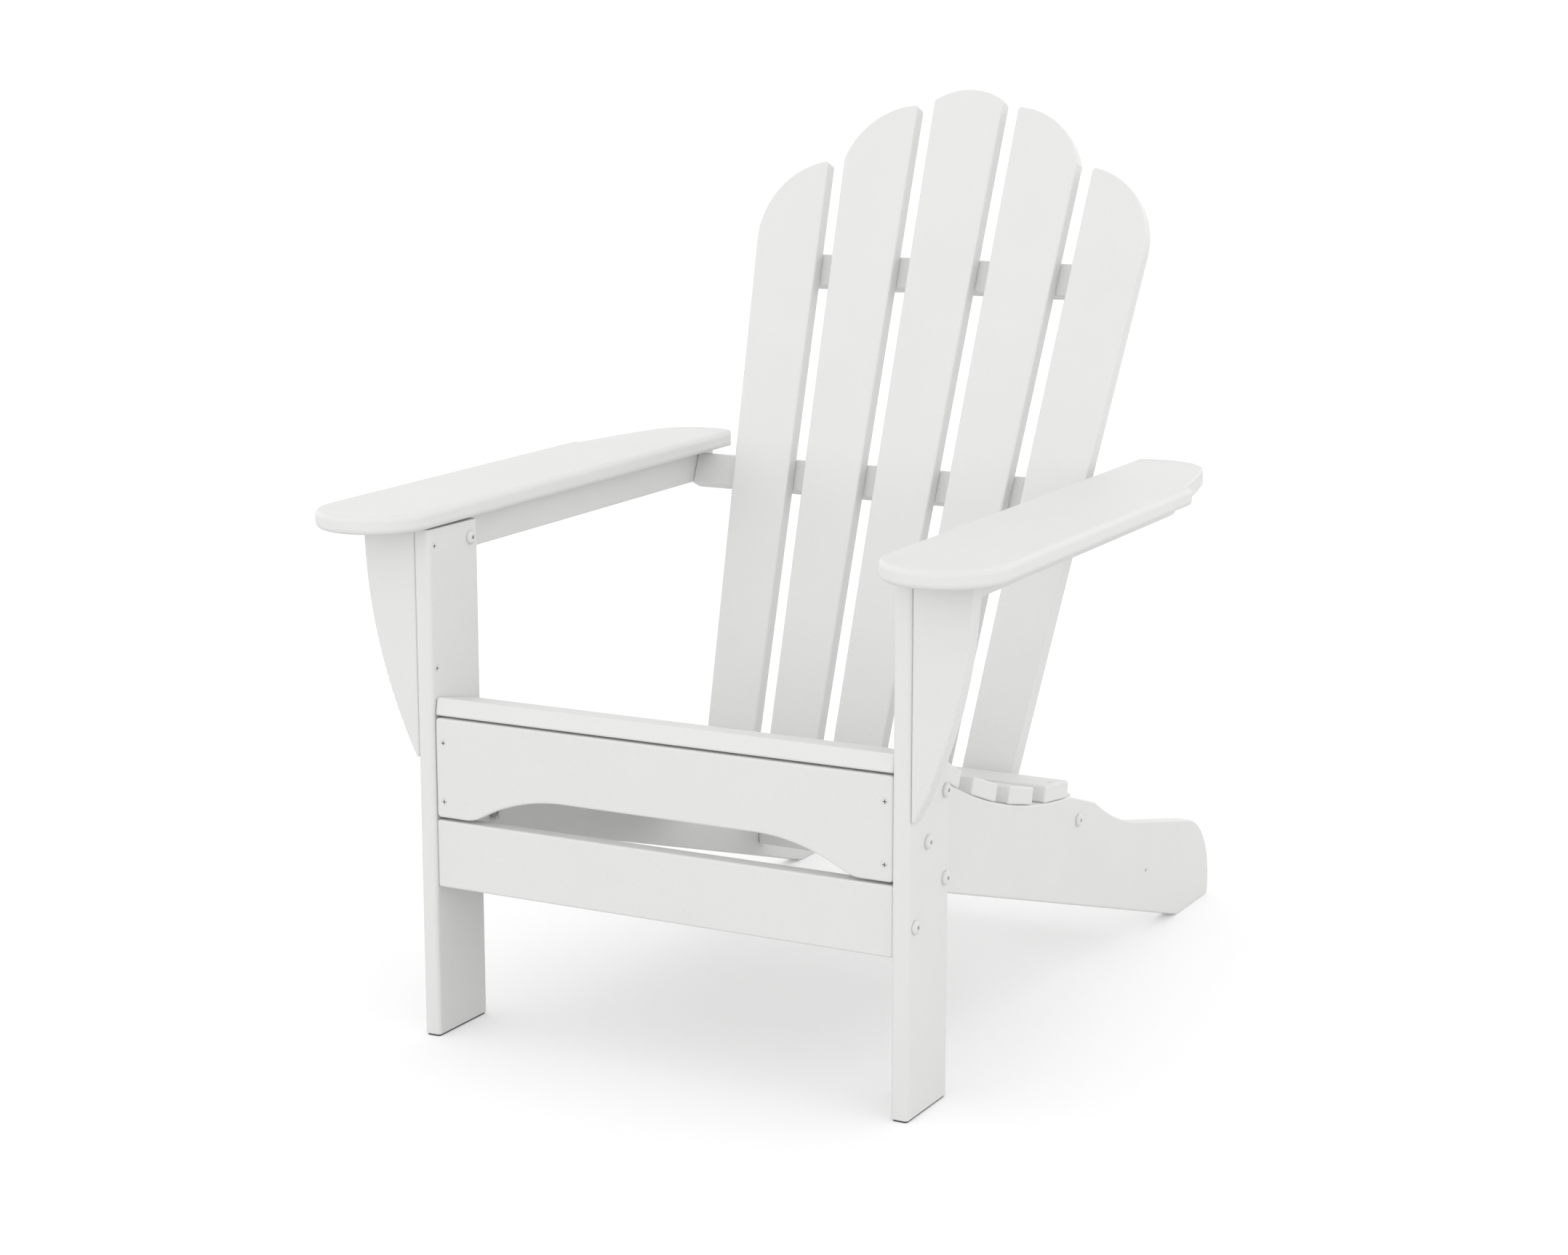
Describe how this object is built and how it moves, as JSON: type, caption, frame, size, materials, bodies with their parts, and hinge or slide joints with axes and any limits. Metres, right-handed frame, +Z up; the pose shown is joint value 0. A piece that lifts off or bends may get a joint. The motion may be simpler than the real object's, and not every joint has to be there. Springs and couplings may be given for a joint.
{
  "type": "adirondack chair",
  "caption": "Adirondack chair in white plastic lumber with a fanned slat back, a scooped slat seat, wide flat arms on curved brackets and long side boards that end as rear feet.",
  "frame": {"origin": "on the ground, under the middle of the chair's outline", "axes": "+X to the right of someone who faces the chair's front, +Y from the front to the back, +Z up; metres"},
  "size_m": [0.768, 0.9576, 0.9697],
  "materials": {
    "plastic_lumber": "matt white recycled polyethylene boards with a very fine mottled grain and eased edges",
    "coated_hardware": "screws and button-head bolts with white baked-on coating",
    "stainless_hardware": "plain satin stainless steel",
    "dark_glide": "thin dark grey moulded pads under the front legs, fine matt grain"
  },
  "bodies": {
    "root": {"apron_screws": "coated_hardware", "arm_bracket_left": "plastic_lumber", "arm_bracket_right": "plastic_lumber", "arm_left": "plastic_lumber", "arm_rail_bolt_nuts": "stainless_hardware", "arm_rail_bolt_washers": "stainless_hardware", "arm_rail_bolts": "coated_hardware", "arm_rail_left": "plastic_lumber", "arm_rail_right": "plastic_lumber", "arm_right": "plastic_lumber", "arm_screws": "coated_hardware", "back_slat_centre": "plastic_lumber", "back_slat_inner_left": "plastic_lumber", "back_slat_inner_right": "plastic_lumber", "back_slat_outer_left": "plastic_lumber", "back_slat_outer_right": "plastic_lumber", "back_slat_screws": "coated_hardware", "bracket_screws": "coated_hardware", "front_apron": "plastic_lumber", "front_leg_left": "plastic_lumber", "front_leg_right": "plastic_lumber", "front_stretcher": "plastic_lumber", "leg_bolt_nuts": "stainless_hardware", "leg_bolt_washers": "stainless_hardware", "leg_bolts": "coated_hardware", "leg_glide_left": "dark_glide", "leg_glide_right": "dark_glide", "lower_back_rail": "plastic_lumber", "lower_rail_bolts": "coated_hardware", "lower_rail_inserts": "stainless_hardware", "lower_rail_screws": "coated_hardware", "middle_back_brace": "plastic_lumber", "middle_brace_bolts": "coated_hardware", "middle_brace_inserts": "stainless_hardware", "rear_stretcher": "plastic_lumber", "rear_stretcher_screws": "coated_hardware", "seat_slat_2": "plastic_lumber", "seat_slat_3": "plastic_lumber", "seat_slat_4": "plastic_lumber", "seat_slat_5": "plastic_lumber", "seat_slat_front": "plastic_lumber", "seat_slat_screws": "coated_hardware", "seat_stringer_left": "plastic_lumber", "seat_stringer_right": "plastic_lumber", "stretcher_bolts": "coated_hardware", "stretcher_inserts": "stainless_hardware", "upper_back_brace": "plastic_lumber"}
  },
  "joints": []
}
